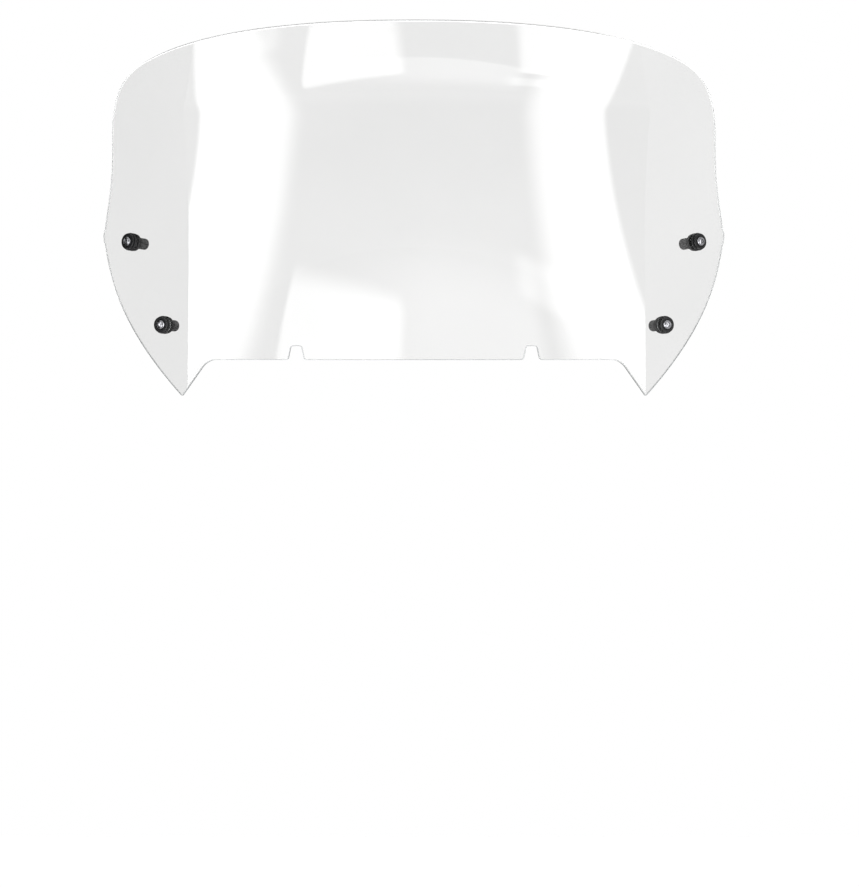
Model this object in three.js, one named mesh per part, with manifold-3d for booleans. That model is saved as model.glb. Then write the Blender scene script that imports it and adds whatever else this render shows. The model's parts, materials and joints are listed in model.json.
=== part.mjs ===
// Windshield screen of a motorcycle, with the four screw stacks that hold it.
//
// Millimetres, +Z up. The screen's outer face looks along -Y, towards the wind, and the rider
// sits on the +Y side. Left and right are the rider's, so left is +X. The origin is the centre
// of the four-hole mounting pattern, on the centre plane.

import * as THREE from 'three'
import { mergeVertices } from 'three/addons/utils/BufferGeometryUtils.js'
import Module from 'manifold-3d'

const wasm = await Module()
wasm.setup()

// ---- driving dimensions -------------------------------------------------------------------

const WIDTH = 700 // across the two side corners
const HEIGHT = 420 // from the two lower tips to the top edge
const THICKNESS = 4.5 // of the sheet
const GAP = 0.3 // between pieces that touch
const SEGMENTS = 16 // round a turned piece

// The sheet's bend. Across the bike it is part of a circle, tightest at TIGHT_Z. Up the bike
// it is slightly rounded, and its top LIP_HEIGHT turns forward as a lip.
const TIGHT_Z = 330
const TIGHT_RADIUS = 430
const BOTTOM_RADIUS = 560
const BOTTOM_Z = 40
const PROFILE_RADIUS = 1500
const PROFILE_Z = 200
const LIP_HEIGHT = 100
const LIP_THROW = 26
const LIP_RADIUS_GAIN = 130

// The outline, as the rider's left half. Heights count from the tips.
const TIP_X = 260.4
const CORNER_Z = 179
const CORNER_ROUNDING = 9
const CORNER_INSET = 1.75 // how far inside WIDTH / 2 the rounding starts
const WAIST = new THREE.Vector2(340.3, 273)
const SHOULDER = new THREE.Vector2(303.2, 374)
const BOTTOM_EDGE_Z = 41
const FLANK_X = 231.5 // where the bottom edge turns down to the tip
const FLANK_ROUNDING = 11

const NOTCH_X = 132
const NOTCH_MOUTH = 18
const NOTCH_TOP = 11.5
const NOTCH_DEPTH = 15.5
const NOTCH_ROUNDING = 3

// The four fixing holes. The lower two are larger, so that the screen can shift to fit.
const STATIONS = [
  { name: 'upper_left', x: 318.5, z: 173, holeRadius: 6 },
  { name: 'upper_right', x: -318.5, z: 173, holeRadius: 6 },
  { name: 'lower_left', x: 281.3, z: 80, holeRadius: 8 },
  { name: 'lower_right', x: -281.3, z: 80, holeRadius: 8 },
]

const GROMMET = { flangeRadius: 10, flange: 1.8, bore: 4.5, backGap: 0.5 }
const SLEEVE = { flangeRadius: 7.5, flange: 1, tubeRadius: 4.2, bore: 3.3 }
const WASHER = { radius: 9, height: 1.8, seatRadius: 5.9, seatDepth: 0.7, bore: 3.3, edge: 0.6 }
const SCREW = { headRadius: 5.25, headHeight: 3.3, shankRadius: 2.95, length: 30 }
const SOCKET = { acrossFlats: 4, depth: 2.1 }
const WELL_NUT = { flangeRadius: 9.5, flange: 2.2, barrelRadius: 6.35, barrel: 16, bore: 3.3 }
const INSERT = { radius: 4.3, length: 8.4, bore: 3.25 }

// Heights along a fixing's axis, outwards from the screen's outer face.
const GROMMET_TOP = GAP + GROMMET.flange
const GROMMET_BACK = -THICKNESS - GROMMET.backGap
const GROMMET_END = GROMMET_BACK - GROMMET.flange
const SLEEVE_SEAT = GROMMET_TOP + GAP
const SLEEVE_TOP = SLEEVE_SEAT + SLEEVE.flange
const WELL_NUT_TOP = GROMMET_END - 2 * GAP
const WELL_NUT_BACK = WELL_NUT_TOP - WELL_NUT.flange
const WELL_NUT_END = WELL_NUT_BACK - WELL_NUT.barrel
const INSERT_END = WELL_NUT_END + GAP
const INSERT_TOP = INSERT_END + INSERT.length
const WASHER_SEAT = SLEEVE_TOP + GAP
const WASHER_TOP = WASHER_SEAT + WASHER.height
const SCREW_SEAT = WASHER_TOP - WASHER.seatDepth + GAP
const SCREW_TOP = SCREW_SEAT + SCREW.headHeight
const SCREW_END = SCREW_SEAT - SCREW.length

// ---- materials ----------------------------------------------------------------------------

const clearSheet = new THREE.MeshStandardMaterial({
  color: 0xe9eced, roughness: 0.05, metalness: 0, transparent: true, opacity: 0.35,
})
const rubber = new THREE.MeshStandardMaterial({ color: 0x1b1b1c, roughness: 0.85, metalness: 0 })
const nylon = new THREE.MeshStandardMaterial({ color: 0x121213, roughness: 0.45, metalness: 0 })
const darkSteel = new THREE.MeshStandardMaterial({ color: 0x3a3b3e, roughness: 0.3, metalness: 1 })
const zincSteel = new THREE.MeshStandardMaterial({ color: 0xb9bcc0, roughness: 0.35, metalness: 1 })
const brass = new THREE.MeshStandardMaterial({ color: 0xb5a05a, roughness: 0.4, metalness: 1 })

// ---- the sheet's surface ------------------------------------------------------------------

// Radius of the bend across the bike at height z.
function bendRadius(z) {
  const below = Math.max(0, (TIGHT_Z - z) / (TIGHT_Z - BOTTOM_Z))
  return TIGHT_RADIUS + (BOTTOM_RADIUS - TIGHT_RADIUS) * below ** 2 + LIP_RADIUS_GAIN * lip(z) ** 2
}

// 0 up to the lip, then rising to 1 at the top edge.
function lip(z) {
  return Math.max(0, (z - HEIGHT + LIP_HEIGHT) / LIP_HEIGHT)
}

// How far back, in +Y, the outer face lies at (x, z).
function setback(x, z) {
  const radius = bendRadius(z)
  const profile = (z - PROFILE_Z) ** 2 / (2 * PROFILE_RADIUS) - LIP_THROW * lip(z) ** 2
  return profile + radius - Math.sqrt(radius ** 2 - x ** 2)
}

function outwardNormal(x, z) {
  const step = 0.01
  const acrossSlope = (setback(x + step, z) - setback(x - step, z)) / (2 * step)
  const upSlope = (setback(x, z + step) - setback(x, z - step)) / (2 * step)
  return new THREE.Vector3(acrossSlope, -1, upSlope).normalize()
}

// The point at a height above the outer face, along its normal at (x, z).
function surfacePoint(x, z, height = 0) {
  return new THREE.Vector3(x, setback(x, z), z).addScaledVector(outwardNormal(x, z), height)
}

// ---- closed meshes and booleans -----------------------------------------------------------

function toSolid(geometry) {
  const bare = geometry.clone()
  bare.deleteAttribute('normal')
  bare.deleteAttribute('uv')
  const merged = mergeVertices(bare)
  const vertProperties = new Float32Array(merged.attributes.position.array)
  const triVerts = new Uint32Array(merged.index.array)
  return new wasm.Manifold(new wasm.Mesh({ numProp: 3, vertProperties, triVerts }))
}

function toGeometry(solid) {
  const { vertProperties, triVerts } = solid.getMesh()
  const geometry = new THREE.BufferGeometry()
  geometry.setAttribute('position', new THREE.BufferAttribute(vertProperties, 3))
  geometry.setIndex(new THREE.BufferAttribute(triVerts, 1))
  geometry.computeVertexNormals()
  return geometry
}

function meshOf(points, triangles) {
  const geometry = new THREE.BufferGeometry().setFromPoints(points)
  geometry.setIndex(triangles.flat())
  return geometry
}

// Two triangles for each side of the band between ring a and ring b, which count from there.
function band(a, b, count) {
  const triangles = []
  for (let i = 0; i < count; i++) {
    const next = (i + 1) % count
    triangles.push([a + i, a + next, b + next], [a + i, b + next, b + i])
  }
  return triangles
}

// ---- the screen ---------------------------------------------------------------------------

// A line to the corner, then a rounded turn towards the next point.
function roundedTurn(path, corner, next, rounding) {
  const into = corner.clone().sub(path.currentPoint).setLength(rounding)
  const out = next.clone().sub(corner).setLength(rounding)
  const start = corner.clone().sub(into)
  const end = corner.clone().add(out)
  path.lineTo(start.x, start.y)
  path.quadraticCurveTo(corner.x, corner.y, end.x, end.y)
}

// The left half's outline in (x, z), from the bottom edge's middle round to the top's.
function halfOutline() {
  const path = new THREE.Path()
  const at = (x, z) => new THREE.Vector2(x, z)
  const mouth = NOTCH_MOUTH / 2
  const top = NOTCH_TOP / 2
  const notch = [
    at(NOTCH_X - mouth, BOTTOM_EDGE_Z),
    at(NOTCH_X - top, BOTTOM_EDGE_Z + NOTCH_DEPTH),
    at(NOTCH_X + top, BOTTOM_EDGE_Z + NOTCH_DEPTH),
    at(NOTCH_X + mouth, BOTTOM_EDGE_Z),
  ]
  const flank = at(FLANK_X, BOTTOM_EDGE_Z)
  const tip = at(TIP_X, 0)
  const corner = at(WIDTH / 2, CORNER_Z)

  path.moveTo(0, BOTTOM_EDGE_Z)
  const turns = [...notch, flank, tip]
  for (let i = 0; i < notch.length; i++) {
    roundedTurn(path, turns[i], turns[i + 1], NOTCH_ROUNDING)
  }
  roundedTurn(path, flank, tip, FLANK_ROUNDING)
  path.lineTo(tip.x, tip.y)
  const inside = corner.x - CORNER_INSET
  path.bezierCurveTo(328.3, 75.6, 341, 125.7, inside, corner.y - CORNER_ROUNDING)
  path.quadraticCurveTo(corner.x + CORNER_INSET, corner.y, inside, corner.y + CORNER_ROUNDING)
  path.bezierCurveTo(344, 221, WAIST.x, 234.6, WAIST.x, WAIST.y)
  path.bezierCurveTo(WAIST.x, 311, 343.6, 351.5, SHOULDER.x, SHOULDER.y)
  path.bezierCurveTo(225, 419, 60, HEIGHT, 0, HEIGHT)
  return path
}

// The whole outline as points, anticlockwise seen from -Y. Longer curves get more of them.
function outline() {
  const left = halfOutline().curves.flatMap((curve) => {
    const steps = curve.isLineCurve ? 1 : Math.ceil(1 + Math.sqrt(curve.getLength()) / 1.6)
    return curve.getPoints(steps).slice(0, -1)
  })
  const right = left.slice(1).reverse().map((point) => new THREE.Vector2(-point.x, point.y))
  return [...left, new THREE.Vector2(0, HEIGHT), ...right]
}

// A bent sheet, larger than the outline all round.
function bentSlab() {
  const columns = 30
  const rows = 24
  const margin = 12
  const count = (columns + 1) * (rows + 1)
  const at = (column, row) => row * (columns + 1) + column
  const points = [0, -THICKNESS].flatMap((height) => {
    const face = []
    for (let row = 0; row <= rows; row++) {
      for (let column = 0; column <= columns; column++) {
        const x = (column / columns - 0.5) * (WIDTH + 2 * margin)
        const z = (row / rows) * (HEIGHT + 2 * margin) - margin
        face.push(surfacePoint(x, z, height))
      }
    }
    return face
  })

  const triangles = []
  for (let row = 0; row < rows; row++) {
    for (let column = 0; column < columns; column++) {
      const [a, b] = [at(column, row), at(column + 1, row)]
      const [c, d] = [at(column + 1, row + 1), at(column, row + 1)]
      const leaning = column < columns / 2
      const front = leaning ? [[a, b, c], [a, c, d]] : [[a, b, d], [b, c, d]]
      triangles.push(...front, ...front.map(([p, q, r]) => [count + p, count + r, count + q]))
    }
  }
  const rim = []
  for (let column = 0; column < columns; column++) rim.push(at(column, 0))
  for (let row = 0; row < rows; row++) rim.push(at(columns, row))
  for (let column = columns; column > 0; column--) rim.push(at(column, rows))
  for (let row = rows; row > 0; row--) rim.push(at(0, row))
  rim.forEach((front, i) => {
    const next = rim[(i + 1) % rim.length]
    triangles.push([front, count + front, count + next], [front, count + next, next])
  })
  return toSolid(meshOf(points, triangles))
}

// A block with the outline's shape, whose walls stand square to the sheet where they cross it.
function outlineCutter() {
  const clearance = 2
  const reach = 300
  const ring = outline()
  const levels = [
    { height: clearance, shift: -reach },
    { height: clearance, shift: 0 },
    { height: -THICKNESS - clearance, shift: 0 },
    { height: -THICKNESS - clearance, shift: reach },
  ]
  const points = levels.flatMap(({ height, shift }) =>
    ring.map(({ x, y: z }) => {
      const point = surfacePoint(x, z, height)
      point.y += shift
      return point
    }),
  )
  const count = ring.length
  const caps = THREE.ShapeUtils.triangulateShape(ring, [])
  const back = (levels.length - 1) * count
  const triangles = [
    ...caps,
    ...caps.map(([a, b, c]) => [back + a, back + c, back + b]),
    ...levels.slice(1).flatMap((_, i) => band((i + 1) * count, i * count, count)),
  ]
  return toSolid(meshOf(points, triangles))
}

// A drill through the sheet at a station, square to it.
function holeCutter({ x, z, holeRadius }) {
  const reach = 20
  const drill = new THREE.CylinderGeometry(holeRadius, holeRadius, reach, 24)
  drill.applyQuaternion(outwardTurn(x, z))
  const middle = surfacePoint(x, z, -THICKNESS / 2)
  drill.translate(middle.x, middle.y, middle.z)
  return toSolid(drill)
}

function screenGeometry() {
  let sheet = bentSlab().intersect(outlineCutter())
  for (const station of STATIONS) sheet = sheet.subtract(holeCutter(station))
  return toGeometry(sheet)
}

// ---- the pieces of a fixing, turned about +Y with the outer face's level at 0 ---------------

function turned(profile) {
  const points = profile.map(([radius, height]) => new THREE.Vector2(radius, height))
  return new THREE.LatheGeometry([...points, points[0]], SEGMENTS)
}

// A grooved rubber bush that holds the sheet by both faces.
function grommetGeometry(holeRadius) {
  const groove = holeRadius - GAP
  const lead = 0.5
  return turned([
    [GROMMET.bore, GROMMET_END],
    [GROMMET.flangeRadius - lead, GROMMET_END],
    [GROMMET.flangeRadius, GROMMET_END + lead],
    [GROMMET.flangeRadius, GROMMET_BACK],
    [groove, GROMMET_BACK],
    [groove, GAP],
    [GROMMET.flangeRadius, GAP],
    [GROMMET.flangeRadius, GROMMET_TOP - lead],
    [GROMMET.flangeRadius - lead, GROMMET_TOP],
    [GROMMET.bore, GROMMET_TOP],
  ])
}

// A flanged collar that takes the screw's clamping load off the rubber.
function sleeveGeometry() {
  return turned([
    [SLEEVE.bore, GROMMET_END - GAP],
    [SLEEVE.tubeRadius, GROMMET_END - GAP],
    [SLEEVE.tubeRadius, SLEEVE_SEAT],
    [SLEEVE.flangeRadius, SLEEVE_SEAT],
    [SLEEVE.flangeRadius, SLEEVE_TOP],
    [SLEEVE.bore, SLEEVE_TOP],
  ])
}

// A cup washer, recessed for the screw's head.
function washerGeometry() {
  return turned([
    [WASHER.bore, WASHER_SEAT],
    [WASHER.radius, WASHER_SEAT],
    [WASHER.radius, WASHER_TOP - WASHER.edge],
    [WASHER.radius - WASHER.edge, WASHER_TOP],
    [WASHER.seatRadius, WASHER_TOP],
    [WASHER.seatRadius, WASHER_TOP - WASHER.seatDepth],
    [WASHER.bore, WASHER_TOP - WASHER.seatDepth],
  ])
}

// A button-head screw with a hexagon socket and a chamfered end.
function screwGeometry() {
  const { headRadius, shankRadius } = SCREW
  const rimHeight = 0.5
  const flatRadius = 0.45 * headRadius
  const chamfer = 0.7
  const crown = new THREE.QuadraticBezierCurve(
    new THREE.Vector2(headRadius, SCREW_SEAT + rimHeight),
    new THREE.Vector2(headRadius * 0.88, SCREW_TOP),
    new THREE.Vector2(flatRadius, SCREW_TOP),
  )
  const body = turned([
    [0, SCREW_END],
    [shankRadius - chamfer, SCREW_END],
    [shankRadius, SCREW_END + chamfer],
    [shankRadius, SCREW_SEAT],
    [headRadius, SCREW_SEAT],
    ...crown.getPoints(3).map(({ x, y }) => [x, y]),
    [0, SCREW_TOP],
  ])
  const cornerRadius = SOCKET.acrossFlats / Math.sqrt(3)
  const socket = new THREE.CylinderGeometry(cornerRadius, cornerRadius, 2 * SOCKET.depth, 6)
  socket.translate(0, SCREW_TOP, 0)
  return toGeometry(toSolid(body).subtract(toSolid(socket)))
}

// A rubber nut: its barrel swells behind the panel that it sits in as the screw pulls.
function wellNutGeometry() {
  const pocketRadius = INSERT.radius + GAP
  return turned([
    [WELL_NUT.bore, WELL_NUT_TOP],
    [WELL_NUT.bore, INSERT_TOP + GAP],
    [pocketRadius, INSERT_TOP + GAP],
    [pocketRadius, WELL_NUT_END],
    [WELL_NUT.barrelRadius, WELL_NUT_END],
    [WELL_NUT.barrelRadius, WELL_NUT_BACK],
    [WELL_NUT.flangeRadius, WELL_NUT_BACK],
    [WELL_NUT.flangeRadius, WELL_NUT_TOP],
  ])
}

// The threaded insert, bonded into the well nut's blind end.
function insertGeometry() {
  return turned([
    [INSERT.bore, INSERT_END],
    [INSERT.radius, INSERT_END],
    [INSERT.radius, INSERT_TOP],
    [INSERT.bore, INSERT_TOP],
  ])
}

// ---- assembly -----------------------------------------------------------------------------

// The turn that takes +Y to the outward normal at (x, z).
function outwardTurn(x, z) {
  return new THREE.Quaternion().setFromUnitVectors(new THREE.Vector3(0, 1, 0), outwardNormal(x, z))
}

function piece(name, geometry, material) {
  const mesh = new THREE.Mesh(geometry, material)
  mesh.name = name
  return mesh
}

// The six pieces at one hole, on a group whose +Y is the hole's axis.
function fixing({ name, x, z, holeRadius }) {
  const stack = new THREE.Group()
  stack.position.copy(surfacePoint(x, z))
  stack.quaternion.copy(outwardTurn(x, z))
  stack.add(
    piece(`grommet_${name}`, grommetGeometry(holeRadius), rubber),
    piece(`sleeve_${name}`, sleeveGeometry(), zincSteel),
    piece(`washer_${name}`, washerGeometry(), nylon),
    piece(`screw_${name}`, screwGeometry(), darkSteel),
    piece(`well_nut_${name}`, wellNutGeometry(), rubber),
    piece(`insert_${name}`, insertGeometry(), brass),
  )
  return stack
}

const screen = new THREE.Group()
screen.add(piece('screen', screenGeometry(), clearSheet))
for (const station of STATIONS) screen.add(fixing(station))

// Move the pattern's centre to the origin.
const centre = new THREE.Vector3()
for (const { x, z } of STATIONS) centre.add(surfacePoint(x, z).divideScalar(STATIONS.length))
screen.position.copy(centre.negate())

const assembly = new THREE.Group()
assembly.add(screen)

export default assembly
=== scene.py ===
import json
import math

import bmesh
import bpy
import numpy as np
from mathutils import Matrix, Quaternion, Vector
from mathutils.geometry import delaunay_2d_cdt

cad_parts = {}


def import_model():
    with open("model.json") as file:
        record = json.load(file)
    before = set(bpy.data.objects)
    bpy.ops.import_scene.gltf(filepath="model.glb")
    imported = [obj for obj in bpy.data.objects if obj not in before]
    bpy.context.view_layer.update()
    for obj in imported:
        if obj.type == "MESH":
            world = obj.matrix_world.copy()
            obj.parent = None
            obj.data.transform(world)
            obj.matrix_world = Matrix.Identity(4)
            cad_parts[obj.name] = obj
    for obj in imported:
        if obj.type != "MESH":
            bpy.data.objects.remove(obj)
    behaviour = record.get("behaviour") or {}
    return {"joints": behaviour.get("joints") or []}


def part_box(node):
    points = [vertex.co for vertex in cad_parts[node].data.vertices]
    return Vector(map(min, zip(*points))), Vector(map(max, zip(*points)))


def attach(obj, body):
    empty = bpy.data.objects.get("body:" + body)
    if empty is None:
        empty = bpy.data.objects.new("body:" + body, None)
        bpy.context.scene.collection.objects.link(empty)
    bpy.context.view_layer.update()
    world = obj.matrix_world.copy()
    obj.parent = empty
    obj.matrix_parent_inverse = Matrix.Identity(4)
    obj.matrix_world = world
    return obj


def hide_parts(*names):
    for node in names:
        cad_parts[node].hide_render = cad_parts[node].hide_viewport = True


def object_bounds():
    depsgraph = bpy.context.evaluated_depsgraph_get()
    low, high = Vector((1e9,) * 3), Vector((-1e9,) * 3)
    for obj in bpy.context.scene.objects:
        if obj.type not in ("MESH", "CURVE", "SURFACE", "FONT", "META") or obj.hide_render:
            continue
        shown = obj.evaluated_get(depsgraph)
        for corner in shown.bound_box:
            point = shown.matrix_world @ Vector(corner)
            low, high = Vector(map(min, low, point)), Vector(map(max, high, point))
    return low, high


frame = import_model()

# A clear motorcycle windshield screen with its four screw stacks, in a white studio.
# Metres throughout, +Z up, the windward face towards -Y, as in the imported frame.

cad_low, cad_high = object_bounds()
sheet_low, sheet_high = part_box("screen")

MM = 0.001

# ---- the sheet's dimensions, as the CAD model has them --------------------------------------

WIDTH = 700 * MM
HEIGHT = 420 * MM
THICKNESS = 4.5 * MM
TIGHT_Z = 330 * MM
TIGHT_RADIUS = 430 * MM
BOTTOM_RADIUS = 560 * MM
BOTTOM_Z = 40 * MM
PROFILE_RADIUS = 1500 * MM
PROFILE_Z = 200 * MM
LIP_HEIGHT = 100 * MM
LIP_THROW = 26 * MM
LIP_RADIUS_GAIN = 130 * MM

TIP = (260.4 * MM, 0.0)
TIP_ROUNDING = 1.8 * MM
CORNER = (WIDTH / 2, 179 * MM)
CORNER_ROUNDING = 9 * MM
CORNER_INSET = 1.75 * MM
WAIST = (340.3 * MM, 273 * MM)
SHOULDER = (303.2 * MM, 374 * MM)
BOTTOM_EDGE_Z = 41 * MM
FLANK = (231.5 * MM, BOTTOM_EDGE_Z)
FLANK_ROUNDING = 11 * MM
NOTCH_X = 132 * MM
NOTCH_MOUTH = 18 * MM
NOTCH_TOP = 11.5 * MM
NOTCH_DEPTH = 15.5 * MM
NOTCH_ROUNDING = 3 * MM
HOLE_RADIUS = {"upper": 6 * MM, "lower": 8 * MM}

# The handles of the outline's free curves: from the tip's side up to the corner, from there to
# the waist, from the waist to the shoulder, and from the shoulder to the middle of the top.
LOWER_SIDE = ((328.3 * MM, 75.6 * MM), (341 * MM, 125.7 * MM))
UPPER_SIDE = ((344 * MM, 221 * MM), (WAIST[0], 234.6 * MM))
SHOULDER_RISE = ((WAIST[0], 311 * MM), (343.6 * MM, 351.5 * MM))
CROWN = ((225 * MM, 419 * MM), (60 * MM, HEIGHT))

EDGE_ROUND = 0.9 * MM  # the polished edge's rounding
EDGE_ANGLES = [math.radians(angle) for angle in (22.5, 45, 67.5, 90)]  # its steps
MESH_STEP = 6 * MM  # between points of the sheet's mesh
OUTLINE_STEP = 1.5 * MM  # between points of the outline
CORNER_STEPS = 10  # round each of the outline's rounded corners
HOLE_STEPS = 64  # round each hole
SAME_POINT = 1e-7  # points closer than this are one


# ---- the sheet's surface --------------------------------------------------------------------

def lip(z):
    """How far up the lip a height is, from 0 at its foot to 1 at the top."""
    return np.maximum(0, (z - HEIGHT + LIP_HEIGHT) / LIP_HEIGHT)


def bend_radius(z):
    """The radius of the bend across the bike, tightest at the foot of the lip."""
    below = np.maximum(0, (TIGHT_Z - z) / (TIGHT_Z - BOTTOM_Z))
    return TIGHT_RADIUS + (BOTTOM_RADIUS - TIGHT_RADIUS) * below**2 + LIP_RADIUS_GAIN * lip(z) ** 2


def setback(x, z):
    """How far back the outer face lies at (x, z), with z from the tips."""
    radius = bend_radius(z)
    profile = (z - PROFILE_Z) ** 2 / (2 * PROFILE_RADIUS) - LIP_THROW * lip(z) ** 2
    return profile + radius - np.sqrt(radius**2 - x**2)


# The outer face's depth where its setback is none, which puts its foremost place on the frame's box.
FACE_Y = sheet_low.y - min(setback(0, HEIGHT * i / 1000) for i in range(1001))


def outward(points):
    """Unit normals of the outer face at an array of (x, z)."""
    x, z = points.T
    step = 0.01 * MM
    across = (setback(x + step, z) - setback(x - step, z)) / (2 * step)
    up = (setback(x, z + step) - setback(x, z - step)) / (2 * step)
    normals = np.stack([across, -np.ones_like(x), up], 1)
    return normals / np.linalg.norm(normals, axis=1, keepdims=True)


def surface(points, height=0.0):
    """Places of (x, z) points, at a height above the outer face, in the frame."""
    x, z = points.T
    face = np.stack([x, FACE_Y + setback(x, z), sheet_low.z + z], 1)
    return face + height * outward(points)


# ---- the sheet's outline and holes, as closed loops of (x, z) --------------------------------

def bezier(controls, steps):
    """Points of a Bezier curve of any degree, without its last."""
    points = []
    for i in range(steps):
        t = i / steps
        level = [Vector(c) for c in controls]
        while len(level) > 1:
            level = [a.lerp(b, t) for a, b in zip(level, level[1:])]
        points.append(level[0])
    return points


class Path:
    """A line of straight, rounded and curved stretches, sampled as it is drawn."""

    def __init__(self, start, step):
        self.points, self.pen, self.step = [], Vector(start), step

    def draw(self, *controls, steps=None):
        """Draws a Bezier curve from the pen, through handles if any, to an end."""
        length = sum((Vector(b) - Vector(a)).length for a, b in zip((self.pen, *controls), controls))
        self.points += bezier((self.pen, *controls), steps or max(1, round(length / self.step)))
        self.pen = Vector(controls[-1])

    def turn(self, corner, towards, rounding):
        """Draws a straight stretch to a corner and rounds it off towards the next."""
        corner, towards = Vector(corner), Vector(towards)
        self.draw(corner - (corner - self.pen).normalized() * rounding)
        self.draw(corner, corner + (towards - corner).normalized() * rounding, steps=CORNER_STEPS)


def outline():
    """The sheet's outline, anticlockwise seen from the front."""
    mouth, top, roof = NOTCH_MOUTH / 2, NOTCH_TOP / 2, BOTTOM_EDGE_Z + NOTCH_DEPTH
    turns = [
        ((NOTCH_X - mouth, BOTTOM_EDGE_Z), NOTCH_ROUNDING),
        ((NOTCH_X - top, roof), NOTCH_ROUNDING),
        ((NOTCH_X + top, roof), NOTCH_ROUNDING),
        ((NOTCH_X + mouth, BOTTOM_EDGE_Z), NOTCH_ROUNDING),
        (FLANK, FLANK_ROUNDING),
        (TIP, TIP_ROUNDING),
        (LOWER_SIDE[0], 0),
    ]
    path = Path((0, BOTTOM_EDGE_Z), OUTLINE_STEP)
    for (corner, rounding), (towards, _) in zip(turns, turns[1:]):
        path.turn(corner, towards, rounding)
    x, z = CORNER
    path.draw(*LOWER_SIDE, (x - CORNER_INSET, z - CORNER_ROUNDING))
    path.draw((x + CORNER_INSET, z), (x - CORNER_INSET, z + CORNER_ROUNDING), steps=CORNER_STEPS)
    path.draw(*UPPER_SIDE, WAIST)
    path.draw(*SHOULDER_RISE, SHOULDER)
    path.draw(*CROWN, (0, HEIGHT))
    left = path.points
    right = [Vector((-p.x, p.y)) for p in reversed(left[1:])]
    return np.array([*left, (0, HEIGHT), *right])


def hole_loop(centre, axis, radius):
    """A hole's rim, clockwise seen from the front, from the hole's centre and axis."""
    turn = axis.to_track_quat("Z", "Y").to_matrix()
    loop = []
    for i in range(HOLE_STEPS):
        angle = 2 * math.pi * i / HOLE_STEPS
        spot = centre + turn @ Vector((math.cos(angle), math.sin(angle), 0)) * radius
        loop.append((spot.x, spot.z - sheet_low.z))
    loop = np.array(loop)
    return loop if signed_area(loop) < 0 else loop[::-1]


def signed_area(loop):
    """A loop's area, negative when it runs clockwise."""
    x, z = loop.T
    return 0.5 * np.sum(x * np.roll(z, -1) - np.roll(x, -1) * z)


def inside(points, loop):
    """Which of the points lie inside a loop, by counting crossings."""
    result = np.zeros(len(points), bool)
    x, z = points.T
    for (x1, z1), (x2, z2) in zip(loop, np.roll(loop, -1, axis=0)):
        if z1 != z2:
            crosses = (z1 > z) != (z2 > z)
            result ^= crosses & (x < (x2 - x1) * (z - z1) / (z2 - z1) + x1)
    return result


# ---- mesh helpers ---------------------------------------------------------------------------

def new_piece(name, points, faces, body, materials, normals=None):
    """A smooth mesh object that rides on a body, with the materials it is given."""
    mesh = bpy.data.meshes.new(name)
    mesh.from_pydata([tuple(p) for p in points], [], faces)
    mesh.polygons.foreach_set("use_smooth", [True] * len(faces))
    if normals is not None:
        mesh.normals_split_custom_set_from_vertices([tuple(n) for n in normals])
    mesh.validate()
    mesh.update()
    piece = bpy.data.objects.new(name, mesh)
    bpy.context.scene.collection.objects.link(piece)
    for material in materials:
        mesh.materials.append(material)
    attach(piece, body)
    return piece


def band(first, second):
    """Quads between two closed rings of vertex indices."""
    count = len(first)
    turns = [(i, (i + 1) % count) for i in range(count)]
    return [(first[i], first[j], second[j], second[i]) for i, j in turns]


# ---- materials ------------------------------------------------------------------------------

def map_range(tree, value, source, target):
    """The value eased from the source range to the target range."""
    node = tree.nodes.new("ShaderNodeMapRange")
    node.interpolation_type = "SMOOTHSTEP"
    for key, limit in zip(("From Min", "From Max", "To Min", "To Max"), (*source, *target)):
        node.inputs[key].default_value = limit
    tree.links.new(value, node.inputs["Value"])
    return node.outputs["Result"]


def math_node(tree, operation, *values):
    """The result of an operation on numbers or other nodes' outputs."""
    node = tree.nodes.new("ShaderNodeMath")
    node.operation = operation
    for socket, value in zip(node.inputs, values):
        if isinstance(value, (int, float)):
            socket.default_value = value
        else:
            tree.links.new(value, socket)
    return node.outputs[0]


class Nodes:
    """A material's node tree with short calls to fill it."""

    def __init__(self, name):
        self.material = bpy.data.materials.new(name)
        self.material.use_nodes = True
        self.tree = self.material.node_tree
        self.shader = self.tree.nodes["Principled BSDF"]
        self.place = self.add("ShaderNodeTexCoord").outputs["Object"]

    def add(self, kind, **values):
        node = self.tree.nodes.new(kind)
        for key, value in values.items():
            if key in node.inputs:
                node.inputs[key].default_value = value
            else:
                setattr(node, key, value)
        return node

    def link(self, source, target):
        self.tree.links.new(source, target)

    def set(self, **values):
        for key, value in values.items():
            self.shader.inputs[key.replace("_", " ")].default_value = value

    def noise(self, per_metre, detail=3.0):
        noise = self.add("ShaderNodeTexNoise", Scale=per_metre, Detail=detail)
        self.link(self.place, noise.inputs["Vector"])
        return noise.outputs["Fac"]

    def ramp(self, factor, low, high, start=0.3, end=0.7):
        """low to high, which are numbers or colours, as the factor goes from start to end."""
        ramp = self.add("ShaderNodeMapRange" if isinstance(low, float) else "ShaderNodeValToRGB")
        if isinstance(low, float):
            for key, value in zip(("From Min", "From Max", "To Min", "To Max"), (start, end, low, high)):
                ramp.inputs[key].default_value = value
            self.link(factor, ramp.inputs["Value"])
            return ramp.outputs["Result"]
        first, last = ramp.color_ramp.elements
        first.position, first.color = start, (*low, 1)
        last.position, last.color = end, (*high, 1)
        self.link(factor, ramp.inputs["Fac"])
        return ramp.outputs["Color"]

    def bump(self, height, distance, strength=1.0):
        bump = self.add("ShaderNodeBump", Distance=distance, Strength=strength)
        self.link(height, bump.inputs["Height"])
        self.link(bump.outputs["Normal"], self.shader.inputs["Normal"])


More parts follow.
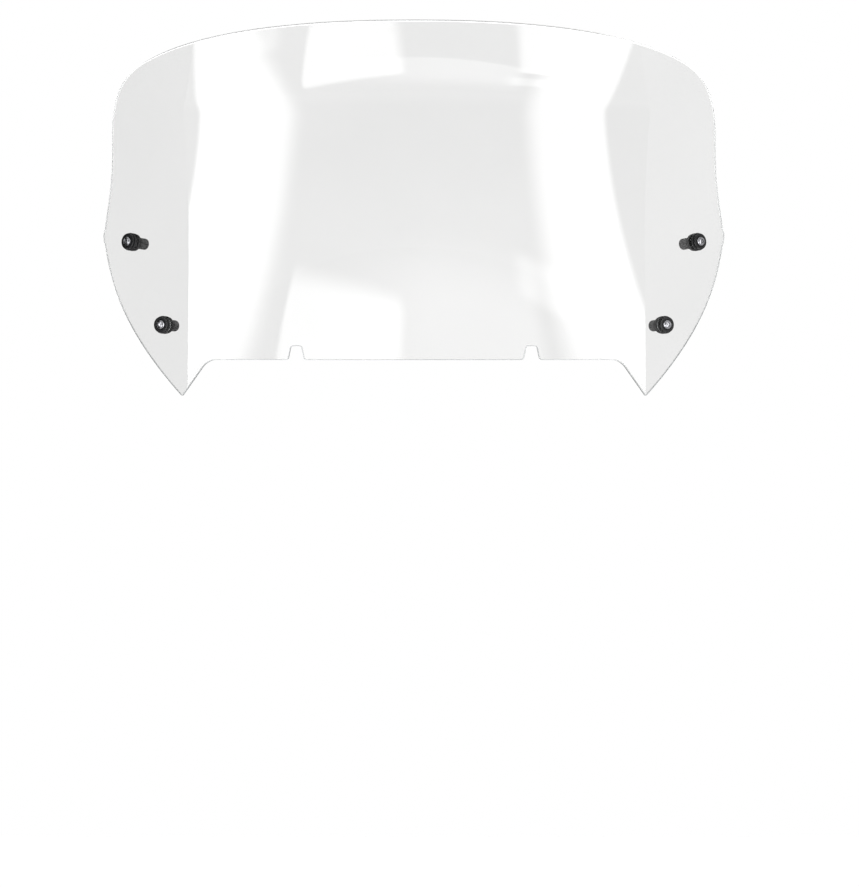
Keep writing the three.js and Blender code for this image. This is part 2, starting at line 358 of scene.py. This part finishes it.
def clear_sheet():
    """Clear plastic, with a trace of unevenness in its tint, gloss and flatness."""
    nodes = Nodes("clear_sheet")
    nodes.set(Transmission_Weight=1.0, IOR=1.49)
    tones, gloss, waves = nodes.noise(7), nodes.noise(9), nodes.noise(5, detail=1.0)
    tint = nodes.ramp(tones, (0.825, 0.826, 0.823), (0.845, 0.845, 0.842))
    nodes.link(tint, nodes.shader.inputs["Base Color"])
    nodes.link(nodes.ramp(gloss, 0.0, 0.012), nodes.shader.inputs["Roughness"])
    nodes.bump(waves, 0.4 * MM, 0.15)
    return nodes.material


def cut_edge():
    """The sheet's sawn and polished edge, mottled by the polishing, with painted light: its tint lighter
    towards its top.
    """
    nodes = Nodes("cut_edge")
    nodes.set(Transmission_Weight=0.68, IOR=1.49)
    parts = nodes.add("ShaderNodeSeparateXYZ")
    nodes.link(nodes.place, parts.inputs[0])
    height, marks = parts.outputs["Z"], nodes.noise(60)
    # Painted light and shade: the edge's tint is darkest low on its flanks and lightens with height, most
    # of all over the top, in place of the light the edge catches there.
    flanks = (sheet_low.z + BOTTOM_EDGE_Z, sheet_low.z + 3 * BOTTOM_EDGE_Z)
    crest = (sheet_high.z - 2 * LIP_HEIGHT, sheet_high.z)
    side_painted_light = map_range(nodes.tree, height, flanks, (0, 0.3))
    top_painted_light = map_range(nodes.tree, height, crest, (0, 0.6))
    painted_lightening = math_node(nodes.tree, "ADD", side_painted_light, top_painted_light)
    mottling = 0.2
    mottling_and_painted_light = math_node(nodes.tree, "MULTIPLY_ADD", marks, mottling, painted_lightening)
    tint = nodes.ramp(mottling_and_painted_light, (0.32, 0.33, 0.33), (0.97, 0.975, 0.975), start=0.0, end=1.0)
    nodes.link(tint, nodes.shader.inputs["Base Color"])
    nodes.link(nodes.ramp(marks, 0.08, 0.2), nodes.shader.inputs["Roughness"])
    nodes.bump(marks, 0.05 * MM, 0.2)
    return nodes.material


def moulded(name, dark, light, roughness, grain, depth):
    """Moulded rubber or nylon: two near tones, a fine grain and uneven gloss."""
    nodes = Nodes(name)
    nodes.set(IOR=1.5, Specular_IOR_Level=0.25)
    tones, gloss = nodes.noise(140), nodes.noise(500)
    nodes.link(nodes.ramp(tones, dark, light), nodes.shader.inputs["Base Color"])
    nodes.link(nodes.ramp(gloss, *roughness), nodes.shader.inputs["Roughness"])
    nodes.bump(nodes.noise(grain, detail=4.0), depth)
    return nodes.material


def plated(name, dark, light, roughness):
    """Plated metal: two near tones, a fine grain and an uneven sheen."""
    nodes = Nodes(name)
    nodes.set(Metallic=1.0)
    tones, gloss, grain = nodes.noise(300), nodes.noise(900), nodes.noise(2500, detail=2.0)
    nodes.link(nodes.ramp(tones, dark, light), nodes.shader.inputs["Base Color"])
    nodes.link(nodes.ramp(gloss, *roughness), nodes.shader.inputs["Roughness"])
    nodes.bump(grain, 0.02 * MM, 0.4)
    return nodes.material


CLEAR = clear_sheet()
CUT_EDGE = cut_edge()
RUBBER = moulded("rubber", (0.006, 0.006, 0.006), (0.013, 0.013, 0.014), (0.55, 0.75), 5000, 0.04 * MM)
NYLON = moulded("black_nylon", (0.003, 0.003, 0.003), (0.007, 0.007, 0.008), (0.22, 0.36), 7000, 0.02 * MM)
DARK_STEEL = plated("dark_steel", (0.2, 0.2, 0.21), (0.36, 0.36, 0.38), (0.16, 0.3))
ZINC_STEEL = plated("zinc_steel", (0.5, 0.51, 0.53), (0.66, 0.67, 0.69), (0.22, 0.38))
BRASS = plated("brass", (0.5, 0.37, 0.13), (0.66, 0.5, 0.2), (0.25, 0.4))


# ---- the screen -----------------------------------------------------------------------------

def rim(loop):
    """Where a face ends inside a loop, as (x, z), and the way out across the sheet's edge.

    The edge is rounded off, so each face ends an edge rounding inside the loop.
    """
    face = surface(loop)
    along = np.roll(face, -1, axis=0) - np.roll(face, 1, axis=0)
    along /= np.linalg.norm(along, axis=1, keepdims=True)
    out = np.cross(along, outward(loop))
    edge = face - EDGE_ROUND * out
    return edge[:, [0, 2]] - (0, sheet_low.z), out


def on_sheet(points, edges):
    """Which of the points lie inside the outline's edge, the first, and outside the holes'."""
    result = inside(points, edges[0])
    for edge in edges[1:]:
        result &= ~inside(points, edge)
    return result


def grid_points(edges):
    """Staggered rows of points that fill a face, clear of its edges."""
    boundary = np.concatenate(edges)
    columns = np.arange(-WIDTH / 2, WIDTH / 2, MESH_STEP)
    rows = np.arange(0, HEIGHT, MESH_STEP)
    grid = np.array([(x + (j % 2) * MESH_STEP / 2, z) for j, z in enumerate(rows) for x in columns])
    clear = np.array([np.min(np.sum((boundary - p) ** 2, axis=1)) > (MESH_STEP / 2) ** 2 for p in grid])
    return grid[clear & on_sheet(grid, edges)]


def face_mesh(edges):
    """A face's points (x, z), its triangles, and for each edge the indices of its points."""
    starts = np.cumsum([0] + [len(edge) for edge in edges])
    spans = list(zip(starts, starts[1:]))
    ties = [
        (start + i, start + (i + 1) % (end - start))
        for start, end in spans
        for i in range(end - start)
    ]
    flat = np.concatenate([*edges, grid_points(edges)])
    made = delaunay_2d_cdt([Vector(p) for p in flat], ties, [], 0, SAME_POINT)
    flat = np.array([tuple(p) for p in made[0]])
    place = {sources[0]: i for i, sources in enumerate(made[3]) if sources}
    triangles = np.array(made[2])
    triangles = triangles[on_sheet(flat[triangles].mean(axis=1), edges)]
    corners = flat[triangles]
    first, second = corners[:, 1] - corners[:, 0], corners[:, 2] - corners[:, 0]
    clockwise = first[:, 0] * second[:, 1] < first[:, 1] * second[:, 0]
    triangles[clockwise] = triangles[clockwise][:, ::-1]
    return flat, triangles, [[place[i] for i in range(*span)] for span in spans]


def edge_rings(edge, out):
    """Rings over the rounded edge, from the outer face to the inner: their points and normals."""
    up = outward(edge)
    stages = [(0.0, 1, a) for a in EDGE_ANGLES] + [(-THICKNESS, -1, a) for a in reversed(EDGE_ANGLES)]
    for height, side, a in stages:
        drop = side * EDGE_ROUND * (1 - math.cos(a))
        points = surface(edge, height) + EDGE_ROUND * math.sin(a) * out - drop * up
        yield points, side * math.cos(a) * up + math.sin(a) * out


def screen(places):
    """The sheet: two faces of the same points, and the rounded edges that join them."""
    loops = [outline()]
    loops += [hole_loop(p["pos"], p["axis"], p["hole_radius"]) for p in places]
    rims = [rim(loop) for loop in loops]
    flat, triangles, fronts = face_mesh([edge for edge, _ in rims])

    count = len(flat)
    points = [*surface(flat), *surface(flat, -THICKNESS)]
    normals = [*outward(flat), *-outward(flat)]
    faces = [tuple(int(i) for i in t) for t in triangles]
    faces += [tuple(int(count + i) for i in t[::-1]) for t in triangles]
    face_count = len(faces)
    for (edge, out), front in zip(rims, fronts):
        rings = [front]
        for ring_points, ring_normals in edge_rings(edge, out):
            rings.append(list(range(len(points), len(points) + len(ring_points))))
            points.extend(ring_points)
            normals.extend(ring_normals)
        rings.append([count + i for i in front])
        for upper, lower in zip(rings, rings[1:]):
            faces += [quad[::-1] for quad in band(upper, lower)]

    materials = [CLEAR, CUT_EDGE]
    piece = new_piece("clear_screen", points, faces, "screen_assembly", materials, normals)
    marks = [0] * face_count + [1] * (len(piece.data.polygons) - face_count)
    piece.data.polygons.foreach_set("material_index", marks)
    piece.visible_shadow = False  # clear plastic hardly shades what is behind it
    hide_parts("screen")


# ---- turned pieces --------------------------------------------------------------------------

SEGMENTS = 72  # round each piece
SHARP_ANGLE = math.radians(40)


def rounded(corners, steps=4):
    """A profile's (radius, height, rounding) corners with each one rounded, as a closed line."""
    line = []
    count = len(corners)
    for i, (radius, height, rounding) in enumerate(corners):
        here = Vector((radius, height))
        before = Vector(corners[i - 1][:2])
        after = Vector(corners[(i + 1) % count][:2])
        if rounding == 0:
            line.append(here)
            continue
        start = here + (before - here).normalized() * rounding
        end = here + (after - here).normalized() * rounding
        line += bezier((start, here, end), steps) + [end]
    return line


def ring(radius, height):
    """A ring of points about +Z; radius may be a number or a function of the angle."""
    points = []
    for i in range(SEGMENTS):
        angle = 2 * math.pi * i / SEGMENTS
        r = radius(angle) if callable(radius) else radius
        points.append(Vector((r * math.cos(angle), r * math.sin(angle), height)))
    return points


def stacked(rings, closed=False, capped=False):
    """Points and faces of a skin over rings, closed on itself or capped at both ends."""
    points = [p for r in rings for p in r]
    rows = [list(range(i * SEGMENTS, (i + 1) * SEGMENTS)) for i in range(len(rings))]
    faces = [quad for lower, upper in zip(rows, rows[1:]) for quad in band(lower, upper)]
    if closed:
        faces += band(rows[-1], rows[0])
    if capped:
        faces += [tuple(reversed(rows[0])), tuple(rows[-1])]
    return points, faces


def turned(corners):
    """A solid turned from a profile's corners."""
    return stacked([ring(p.x, p.y) for p in rounded(corners)], closed=True)


def station_piece(kind, station, made, body, material):
    """A piece made about +Z, put on its station's axis in place of its CAD node."""
    points, faces = made
    placed = [station["matrix"] @ p for p in points]
    node = f"{kind}_{station['name']}"
    piece = new_piece(f"fine_{node}", placed, faces, body, [material])
    sharpen(piece.data)
    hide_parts(node)


def sharpen(mesh):
    """Marks the edges that turn by more than the sharp angle as sharp."""
    shape = bmesh.new()
    shape.from_mesh(mesh)
    bmesh.ops.recalc_face_normals(shape, faces=shape.faces)
    for edge in shape.edges:
        edge.smooth = len(edge.link_faces) == 2 and edge.calc_face_angle(0) < SHARP_ANGLE
    shape.to_mesh(mesh)
    shape.free()


# ---- the pieces of a fixing, with heights from the sheet's outer face -------------------------

GAP = 0.3 * MM
GROMMET_TOP = 2.1 * MM
GROMMET_BACK = -5.0 * MM
GROMMET_END = -6.8 * MM
SLEEVE_SEAT = 2.4 * MM
SLEEVE_TOP = 3.4 * MM
WASHER_SEAT = 3.7 * MM
WASHER_TOP = 5.5 * MM
SCREW_SEAT = 5.1 * MM
SCREW_END = -24.9 * MM
WELL_NUT_TOP = -7.4 * MM
WELL_NUT_BACK = -9.6 * MM
WELL_NUT_END = -25.6 * MM
INSERT_TOP = -16.9 * MM
INSERT_END = -25.3 * MM
PITCH = 1.0 * MM
THREAD_STEP = PITCH / 8  # between a thread's rings


def grommet(hole_radius):
    """A rubber bush, whose groove takes the hole's rim."""
    bore, flange, groove = 4.5 * MM, 10 * MM, hole_radius - GAP
    soft, crisp = 0.6 * MM, 0.2 * MM
    return turned([
        (bore, GROMMET_END, crisp),
        (flange, GROMMET_END, soft),
        (flange, GROMMET_BACK, crisp),
        (groove, GROMMET_BACK, crisp),
        (groove, GAP, crisp),
        (flange, GAP, crisp),
        (flange, GROMMET_TOP, soft),
        (bore, GROMMET_TOP, crisp),
    ])


def sleeve():
    """A flanged tube through the grommet, which takes the screw's load."""
    bore, tube, flange, crisp = 3.3 * MM, 4.2 * MM, 7.5 * MM, 0.15 * MM
    return turned([
        (bore, GROMMET_END - GAP, crisp),
        (tube, GROMMET_END - GAP, crisp),
        (tube, SLEEVE_SEAT, crisp),
        (flange, SLEEVE_SEAT, crisp),
        (flange, SLEEVE_TOP, 2 * crisp),
        (bore, SLEEVE_TOP, crisp),
    ])


def washer():
    """A cup washer, whose shallow cup takes the screw's head."""
    bore, edge, seat, cup = 3.3 * MM, 9 * MM, 5.9 * MM, WASHER_TOP - 0.7 * MM
    crisp, soft = 0.12 * MM, 0.7 * MM
    return turned([
        (bore, WASHER_SEAT, crisp),
        (edge, WASHER_SEAT, 2 * crisp),
        (edge, WASHER_TOP, soft),
        (seat + 0.3 * MM, WASHER_TOP, 2 * crisp),
        (seat, cup, crisp),
        (bore, cup, crisp),
    ])


def thread(major, minor, height, start, end):
    """A screw thread's radius as a function of the angle, fading at the start and the end."""
    fade = min(1, max(0, (height - start) / PITCH), max(0, (end - height) / PITCH))
    crest, slope = 1.25, 4.6  # the ridge before its flat top is cut, and its fall over a turn

    def radius(angle):
        turn = (height / PITCH - angle / (2 * math.pi)) % 1
        ridge = min(1, max(0, crest - slope * abs(turn - 0.5)))
        return minor + (major - minor) * ridge * fade

    return radius


def hexagon(across_flats):
    """A hexagon's radius as a function of the angle."""
    def radius(angle):
        return across_flats / 2 / math.cos(angle % (math.pi / 3) - math.pi / 6)

    return radius


def screw():
    """A button-head screw, from the point up its threaded shank and over its head to its socket."""
    head, shank, root = 5.25 * MM, 2.95 * MM, 2.45 * MM
    point, under_head = 0.7 * MM, SCREW_SEAT - 0.6 * MM
    thread_foot = SCREW_END + point
    rings = [ring(root - point, SCREW_END), ring(root, SCREW_END + 0.7 * point)]
    for row in range(round((under_head - thread_foot) / THREAD_STEP) + 1):
        height = thread_foot + row * THREAD_STEP
        rings.append(ring(thread(shank, root, height, SCREW_END + point / 2, under_head), height))
    rings += [ring(root, under_head), ring(shank, SCREW_SEAT - 0.35 * MM)]

    fillet, bevel = 0.12 * MM, 0.2 * MM
    rings += [ring(shank + fillet, SCREW_SEAT), ring(head - bevel, SCREW_SEAT)]
    rings.append(ring(head, SCREW_SEAT + bevel))
    dome = [(0, 0.62 * MM), (0.46 * MM, 2.16 * MM), (2.35 * MM, 3.07 * MM)]
    side = [Vector((head - inset, SCREW_SEAT + rise)) for inset, rise in dome]
    rings += [ring(p.x, p.y) for p in [*bezier(side, 6), side[-1]]]

    socket, mouth = 4 * MM, 0.2 * MM
    crown = SCREW_SEAT + 3.3 * MM
    bottom = crown - 2.1 * MM
    rings.append(ring(hexagon(socket + 2 * mouth), crown - 0.12 * MM))
    rings.append(ring(hexagon(socket), crown - 0.12 * MM - mouth))
    rings.append(ring(hexagon(socket), bottom + 0.05 * MM))
    rings.append(ring(hexagon(socket - 0.2 * MM), bottom))
    rings.append(ring(0.3 * MM, bottom - 0.5 * MM))
    return stacked(rings, capped=True)


def well_nut():
    """A flanged rubber barrel, with a pocket for the insert in its far end."""
    bore, pocket, barrel, flange = 3.3 * MM, 4.6 * MM, 6.35 * MM, 9.5 * MM
    crisp, soft, waist = 0.2 * MM, 0.6 * MM, 0.2 * MM
    return turned([
        (bore, WELL_NUT_TOP, crisp),
        (bore, INSERT_TOP + GAP, crisp),
        (pocket, INSERT_TOP + GAP, crisp),
        (pocket, WELL_NUT_END, crisp),
        (barrel, WELL_NUT_END, soft),
        (barrel, INSERT_TOP, soft),
        (barrel - waist, INSERT_TOP + 2 * soft, soft),
        (barrel - waist, WELL_NUT_BACK - 2 * soft, soft),
        (barrel, WELL_NUT_BACK, crisp),
        (flange, WELL_NUT_BACK, crisp),
        (flange, WELL_NUT_TOP, soft),
    ])


def insert():
    """A brass nut, knurled outside for the rubber's bond, threaded inside."""
    outer, bore, crisp = 4.3 * MM, 3.25 * MM, 0.25 * MM
    teeth, knurl, ridge = 24, 0.15 * MM, 0.12 * MM

    def knurled(angle):
        return outer - knurl * (0.5 + 0.5 * math.cos(teeth * angle))

    rings = [ring(bore + crisp, INSERT_END), ring(outer - knurl - crisp, INSERT_END)]
    rings += [ring(outer - knurl, INSERT_END + crisp), ring(knurled, INSERT_END + 2 * crisp)]
    rings += [ring(knurled, INSERT_TOP - 2 * crisp), ring(outer - knurl, INSERT_TOP - crisp)]
    rings += [ring(outer - knurl - crisp, INSERT_TOP), ring(bore + crisp, INSERT_TOP)]
    for row in range(round((INSERT_TOP - INSERT_END - 2 * crisp) / THREAD_STEP) + 1):
        height = INSERT_TOP - crisp - row * THREAD_STEP
        rings.append(ring(thread(bore - ridge, bore, height, INSERT_END, INSERT_TOP), height))
    return stacked(rings, closed=True)


def fixing(station):
    """A fixing's six pieces: its washer and screw move, and the others stay with the screen."""
    name, root = station["name"], "screen_assembly"
    station_piece("grommet", station, grommet(station["hole_radius"]), root, RUBBER)
    station_piece("sleeve", station, sleeve(), root, ZINC_STEEL)
    station_piece("well_nut", station, well_nut(), root, RUBBER)
    station_piece("insert", station, insert(), root, BRASS)
    station_piece("washer", station, washer(), f"washer_{name}", NYLON)
    station_piece("screw", station, screw(), f"screw_{name}", DARK_STEEL)


def stations():
    """The four fixings, on their screws' axes, where each crosses the sheet's outer face."""
    found = []
    for joint in frame["joints"]:
        if joint["type"] != "hinge":
            continue
        name = joint["child"].removeprefix("screw_")
        pos, axis = Vector(joint["pos_m"]), Vector(joint["axis"]).normalized()
        found.append({
            "name": name,
            "pos": pos,
            "axis": axis,
            "matrix": Matrix.Translation(pos) @ axis.to_track_quat("Z", "Y").to_matrix().to_4x4(),
            "hole_radius": HOLE_RADIUS[name.split("_")[0]],
        })
    return found


# ---- the studio -----------------------------------------------------------------------------

def camera():
    """A long lens, level with the screen, which it holds in the upper half of the picture."""
    distance, picture_height, sensor = 20.0, 0.990, 36
    to_the_side, below_centre = 0.0174, 0.2626
    centre = (cad_low + cad_high) / 2
    centre.y = cad_low.y
    aim = centre + Vector((to_the_side, 0, -below_centre))
    data = bpy.data.cameras.new("camera")
    data.sensor_width = sensor
    data.lens = sensor * distance / picture_height
    data.clip_end = 1000
    holder = bpy.data.objects.new("camera", data)
    bpy.context.scene.collection.objects.link(holder)
    holder.location = centre + Vector((0, -distance, 0))
    holder.rotation_euler = (aim - holder.location).to_track_quat("-Z", "Y").to_euler()
    bpy.context.scene.camera = holder


def softbox(
    name, azimuth, elevation, distance, size, radiance,
    roll=0, sides=(0.1, 0.1), ends=(0.08, 0.08), flags=(None, None),
):
    """An area light that faces the screen; azimuth 0 is in front of it, at -Y.

    It fades over a share of its width at each side, the lower azimuth's first, and of its
    height at its lower and upper end. A flag shades its lower corner on a side: how far it
    leans, in widths to a height, and where it starts, as a share of the height.
    """
    a, e = math.radians(azimuth), math.radians(elevation)
    way = Vector((math.sin(a) * math.cos(e), -math.cos(a) * math.cos(e), math.sin(e)))
    data = bpy.data.lights.new(name, "AREA")
    data.shape = "RECTANGLE"
    data.size, data.size_y = size
    data.energy = radiance * math.pi * size[0] * size[1]
    data.use_nodes = True
    tree = data.node_tree
    spot = tree.nodes.new("ShaderNodeNewGeometry")
    parts = tree.nodes.new("ShaderNodeSeparateXYZ")
    tree.links.new(spot.outputs["Parametric"], parts.inputs[0])
    across, up = parts.outputs["X"], parts.outputs["Y"]
    ramps = [(across, 0, sides[0]), (across, 1, 1 - sides[1]), (up, 0, ends[0]), (up, 1, 1 - ends[1])]
    inward = (across, math_node(tree, "SUBTRACT", 1.0, across))
    for flag, way_in, fade in zip(flags, inward, sides):
        if flag:
            lean, start = flag
            leaning = math_node(tree, "MULTIPLY_ADD", up, lean, way_in)
            ramps.append((leaning, lean * start, lean * start + fade))
    glow = 1.0
    for along, dark, bright in ramps:
        glow = math_node(tree, "MULTIPLY", glow, map_range(tree, along, (dark, bright), (0, 1)))
    tree.links.new(glow, tree.nodes["Emission"].inputs["Strength"])
    light = bpy.data.objects.new(name, data)
    bpy.context.scene.collection.objects.link(light)
    light.location = Vector((0, FACE_Y, 0)) + way * distance
    turn = way.to_track_quat("Z", "Y") @ Quaternion((0, 0, 1), math.radians(roll))
    light.rotation_euler = turn.to_euler()
    light.visible_camera = False
    light.visible_transmission = False


def mirrored(tree):
    """1 for a ray that was mirrored, not let through, by the last surface it met."""
    ray = tree.nodes.new("ShaderNodeLightPath").outputs
    difference = math_node(tree, "SUBTRACT", ray["Is Glossy Ray"], ray["Is Transmission Ray"])
    return map_range(tree, difference, (0, 1), (0, 1))


def seen_in_mirrors(nodes, plain, radiance, share=1.0):
    """Lets mirrored rays see an even glow instead of a share of the plain shader."""
    glow = nodes.add("ShaderNodeEmission", Strength=radiance)
    mix = nodes.add("ShaderNodeMixShader")
    nodes.link(math_node(nodes.tree, "MULTIPLY", mirrored(nodes.tree), share), mix.inputs[0])
    nodes.link(plain.outputs[0], mix.inputs[1])
    nodes.link(glow.outputs[0], mix.inputs[2])
    nodes.link(mix.outputs[0], nodes.tree.nodes["Material Output"].inputs["Surface"])


def stage_card(name, corners, material):
    """A flat four-cornered piece of the studio."""
    mesh = bpy.data.meshes.new(name)
    mesh.from_pydata(corners, [], [(0, 1, 2, 3)])
    mesh.materials.append(material)
    card = bpy.data.objects.new(name, mesh)
    bpy.context.scene.collection.objects.link(card)
    return card


def side_flag(name, side, front, radiance):
    """A grey card beside the screen, which ends a softbox's reflection in the sheet.

    Only mirrored rays see it. Its front edge, at front on the level of the fixings, leans
    forward below that level.
    """
    nodes = Nodes(name)
    seen_in_mirrors(nodes, nodes.add("ShaderNodeBsdfTransparent"), radiance)
    clearance, lean, low, top, back = 0.087, 0.35, -0.3, 0.3, 0.3
    x = side * (sheet_high.x + clearance)
    corners = [(x, front + lean * low, low), (x, back, low), (x, back, top), (x, front + lean * top, top)]
    card = stage_card(name, corners, nodes.material)
    card.visible_camera = card.visible_diffuse = card.visible_shadow = False


def world():
    """White, but darker low down in reflections, most of all a little above the horizon."""
    made = bpy.data.worlds.new("studio")
    bpy.context.scene.world = made
    made.use_nodes = True
    tree = made.node_tree
    back = tree.nodes["Background"]
    back.inputs["Color"].default_value = (1, 1, 1, 1)
    way = tree.nodes.new("ShaderNodeTexCoord")
    parts = tree.nodes.new("ShaderNodeSeparateXYZ")
    tree.links.new(way.outputs["Generated"], parts.inputs[0])
    up = parts.outputs["Z"]
    horizon, overhead = (0.0, 0.12), (0.3, 0.5)
    darkening = map_range(tree, up, horizon, (0.2, 0.7))
    lightening = map_range(tree, up, overhead, (1.0, 0.0))
    strip = math_node(tree, "MULTIPLY", darkening, lightening)
    loss = math_node(tree, "MULTIPLY", mirrored(tree), strip)
    tree.links.new(math_node(tree, "SUBTRACT", 1.0, loss), back.inputs["Strength"])


def floor():
    """Plain and white, lit up a little from itself, and dimmer in reflections."""
    nodes = Nodes("floor")
    nodes.set(Base_Color=(0.9, 0.9, 0.9, 1), Roughness=0.9)
    nodes.set(Emission_Color=(1, 1, 1, 1), Emission_Strength=0.14)
    seen_in_mirrors(nodes, nodes.shader, 0.0, share=0.4)
    reach, below = 60.0, 2.6
    height = cad_low.z - below
    corners = [(-reach, -reach), (reach, -reach), (reach, reach), (-reach, reach)]
    stage_card("floor", [(x, y, height) for x, y in corners], nodes.material)


def lights():
    """Softboxes that the sheet mirrors as its white bands and patches, and two flags."""
    softbox(
        "softbox_left", azimuth=-58.6, elevation=-8, distance=1.8, size=(1.35, 3.0), radiance=5.0,
        roll=-12, sides=(0.067, 0.278), flags=((0.478, 0.655), (0.25, 0.66)),
    )
    softbox(
        "softbox_right", azimuth=54, elevation=-8, distance=1.8, size=(1.05, 3.0), radiance=5.0,
        roll=10, sides=(0.3, 0.08),
    )
    softbox(
        "softbox_low", azimuth=-22.6, elevation=-25, distance=3.0, size=(2.014, 2.4), radiance=4.5,
        roll=-12, sides=(0.057, 0.132), flags=((0.519, 0.88), None),
    )
    softbox(
        "softbox_fill", azimuth=3, elevation=-8, distance=3.0, size=(3.9, 1.0), radiance=2.1,
        sides=(0.6, 0.1), ends=(0.1, 0.5),
    )
    softbox("softbox_behind", azimuth=150, elevation=20, distance=2.5, size=(1.6, 1.6), radiance=2)
    softbox(
        "softbox_under_left", azimuth=-50, elevation=-33, distance=1.8, size=(0.5, 0.9), radiance=2.2,
        sides=(0.1, 0.35), ends=(0.1, 0.3),
    )
    softbox(
        "softbox_under_right", azimuth=41.2, elevation=-26.2, distance=4.0, size=(1.42, 2.05), radiance=4.5,
        sides=(0.2, 0.1), ends=(0.1, 0.04),
    )
    softbox(
        "softbox_step", azimuth=36.5, elevation=-2.5, distance=1.8, size=(0.5, 0.2), radiance=2.3,
        sides=(0.4, 0.1), ends=(0.3, 0.3),
    )
    side_flag("flag_left", side=-1, front=-0.1365, radiance=0.05)
    side_flag("flag_right", side=1, front=-0.123, radiance=0.9)


camera()
world()
floor()
lights()
bpy.context.scene.view_settings.view_transform = "Standard"

found = stations()
screen(found)
for station in found:
    fixing(station)
